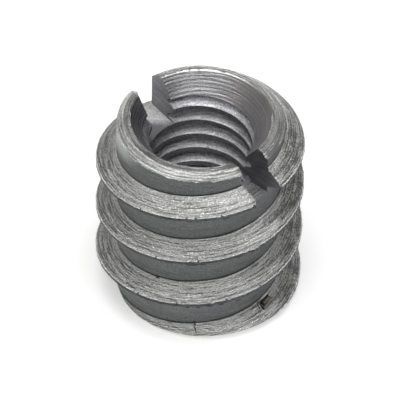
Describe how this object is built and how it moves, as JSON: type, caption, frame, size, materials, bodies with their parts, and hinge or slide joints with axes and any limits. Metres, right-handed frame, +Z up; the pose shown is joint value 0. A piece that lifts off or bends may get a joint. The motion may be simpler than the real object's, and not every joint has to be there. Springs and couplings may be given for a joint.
{
  "type": "threaded insert",
  "caption": "Slotted screw-in insert: a steel sleeve with a coarse outer thread for wood, and a countersunk, threaded bore for a machine screw.",
  "frame": {"origin": "centre of the lower end face, on the thread's axis", "axes": "+Z up the thread's axis and out of the slotted end, +X along the driver slot, in millimetres in the source"},
  "size_m": [0.0138, 0.0138, 0.0142],
  "materials": {
    "steel": "plain steel as turned, with fine tool marks round the flanks, the rim and the countersink"
  },
  "bodies": {
    "root": {"insert": "steel"}
  },
  "joints": []
}
